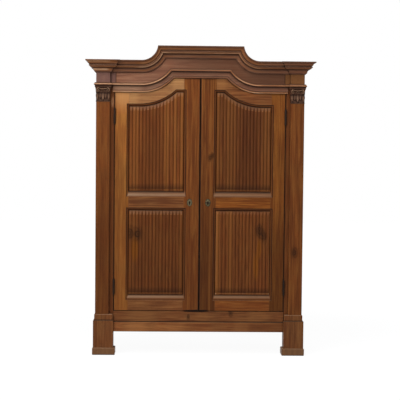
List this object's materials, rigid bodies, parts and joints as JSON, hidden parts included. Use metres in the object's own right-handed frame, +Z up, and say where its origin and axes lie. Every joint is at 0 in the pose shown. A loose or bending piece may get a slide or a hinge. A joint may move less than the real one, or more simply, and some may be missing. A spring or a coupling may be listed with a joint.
{
  "type": "kas cupboard",
  "caption": "Free-standing walnut kas cupboard with paired panelled doors, a swept broken cornice, pilasters with carved capitals, block feet and reeded panels.",
  "frame": {"origin": "on the floor, at the middle of the footprint of the cornice", "axes": "+Z up, -Y the front with the doors, +X to the right of someone who stands before it"},
  "size_m": [1.576, 0.612, 2.1365],
  "materials": {
    "walnut_frame": "waxed",
    "walnut_door": "waxed",
    "walnut_panel": "waxed",
    "walnut_cornice": "waxed",
    "inner_wood": "bare",
    "dark_iron": "aged",
    "aged_brass": "aged"
  },
  "bodies": {
    "case": {"front_left_foot": "walnut_frame", "front_right_foot": "walnut_frame", "front_left_post": "walnut_frame", "front_right_post": "walnut_frame", "rear_left_post": "walnut_frame", "rear_right_post": "walnut_frame", "left_pilaster": "walnut_frame", "right_pilaster": "walnut_frame", "left_capital": "walnut_cornice", "right_capital": "walnut_cornice", "left_side_top_rail": "walnut_frame", "right_side_top_rail": "walnut_frame", "left_side_bottom_rail": "walnut_frame", "right_side_bottom_rail": "walnut_frame", "left_side_panel": "walnut_panel", "right_side_panel": "walnut_panel", "apron": "walnut_frame", "sill_rail": "walnut_frame", "bottom_board": "inner_wood", "top_board": "inner_wood", "shelf_1": "inner_wood", "shelf_2": "inner_wood", "shelf_3": "inner_wood", "back_board_1": "inner_wood", "back_board_2": "inner_wood", "back_board_3": "inner_wood", "frieze_board": "walnut_cornice", "architrave_moulding": "walnut_cornice", "cornice_front": "walnut_cornice", "cornice_left": "walnut_cornice", "cornice_right": "walnut_cornice", "left_upper_hinge_post_half": "dark_iron", "left_lower_hinge_post_half": "dark_iron", "right_upper_hinge_post_half": "dark_iron", "right_lower_hinge_post_half": "dark_iron"},
    "left_door": {"left_hanging_stile": "walnut_door", "left_meeting_stile": "walnut_door", "left_top_rail": "walnut_door", "left_lock_rail": "walnut_door", "left_bottom_rail": "walnut_door", "left_upper_panel": "walnut_panel", "left_lower_panel": "walnut_panel", "left_escutcheon": "aged_brass", "left_upper_hinge_door_half": "dark_iron", "left_lower_hinge_door_half": "dark_iron"},
    "right_door": {"right_hanging_stile": "walnut_door", "right_meeting_stile": "walnut_door", "right_top_rail": "walnut_door", "right_lock_rail": "walnut_door", "right_bottom_rail": "walnut_door", "right_upper_panel": "walnut_panel", "right_lower_panel": "walnut_panel", "right_escutcheon": "aged_brass", "right_upper_hinge_door_half": "dark_iron", "right_lower_hinge_door_half": "dark_iron", "right_lock_case": "dark_iron"},
    "key": {"right_lock_key": "aged_brass"},
    "lock_bolt": {"right_lock_bolt": "dark_iron"},
    "top_bolt": {"left_top_bolt": "dark_iron"},
    "bottom_bolt": {"left_bottom_bolt": "dark_iron"}
  },
  "joints": [
    {"name": "left_door_swing", "type": "hinge", "parent": "case", "child": "left_door", "pos_m": [-0.5905, -0.222, 1.06], "axis": [0, 0, -1], "range_deg": [0, 115]},
    {"name": "right_door_swing", "type": "hinge", "parent": "case", "child": "right_door", "pos_m": [0.5905, -0.222, 1.06], "axis": [0, 0, 1], "range_deg": [0, 115]},
    {"name": "key_turn", "type": "hinge", "parent": "right_door", "child": "key", "pos_m": [0.058, -0.214, 1.0615], "axis": [0, -1, 0], "range_deg": [0, 180]},
    {"name": "lock_bolt_slide", "type": "slide", "parent": "right_door", "child": "lock_bolt", "axis": [-1, 0, 0], "range_m": [0, 0.02]},
    {"name": "top_bolt_slide", "type": "slide", "parent": "left_door", "child": "top_bolt", "axis": [0, 0, 1], "range_m": [0, 0.025]},
    {"name": "bottom_bolt_slide", "type": "slide", "parent": "left_door", "child": "bottom_bolt", "axis": [0, 0, -1], "range_m": [0, 0.025]}
  ],
  "couplings": [
    {"joint": "key_turn", "follows": "lock_bolt_slide", "rad_per_m": 157}
  ]
}
